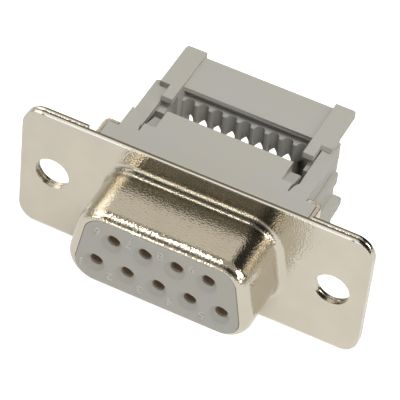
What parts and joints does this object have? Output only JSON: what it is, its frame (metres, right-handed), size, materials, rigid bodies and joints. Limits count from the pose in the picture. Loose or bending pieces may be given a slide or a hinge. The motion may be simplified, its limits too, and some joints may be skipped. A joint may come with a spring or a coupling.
{
  "type": "insulation displacement connector",
  "caption": "Female D-subminiature connector for flat ribbon cable: flanged metal shell, grey insulator with socket contacts, and a press-on cable cover in its open place.",
  "frame": {"origin": "middle of the line between the two mounting holes, on the front face of the flange", "axes": "+X along the flange, -Y out of the mating face, +Z towards the narrow side of the D"},
  "size_m": [0.0308, 0.02, 0.0126],
  "materials": {
    "shell": "nickel-plated steel, satin",
    "bracket": "nickel-plated steel, satin",
    "housing": "moulded grey, satin",
    "cover": "moulded grey, satin",
    "contact": "plated copper alloy"
  },
  "bodies": {
    "connector": {"front_shell": "shell", "bracket_left": "bracket", "bracket_right": "bracket", "insulator_body": "housing", "contact_1": "contact", "contact_2": "contact", "contact_3": "contact", "contact_4": "contact", "contact_5": "contact", "contact_6": "contact", "contact_7": "contact", "contact_8": "contact", "contact_9": "contact"},
    "cover": {"cover": "cover"}
  },
  "joints": [
    {"name": "cover_slide", "type": "slide", "parent": "connector", "child": "cover", "axis": [0, -1, 0], "range_m": [0, 0.0026]}
  ]
}
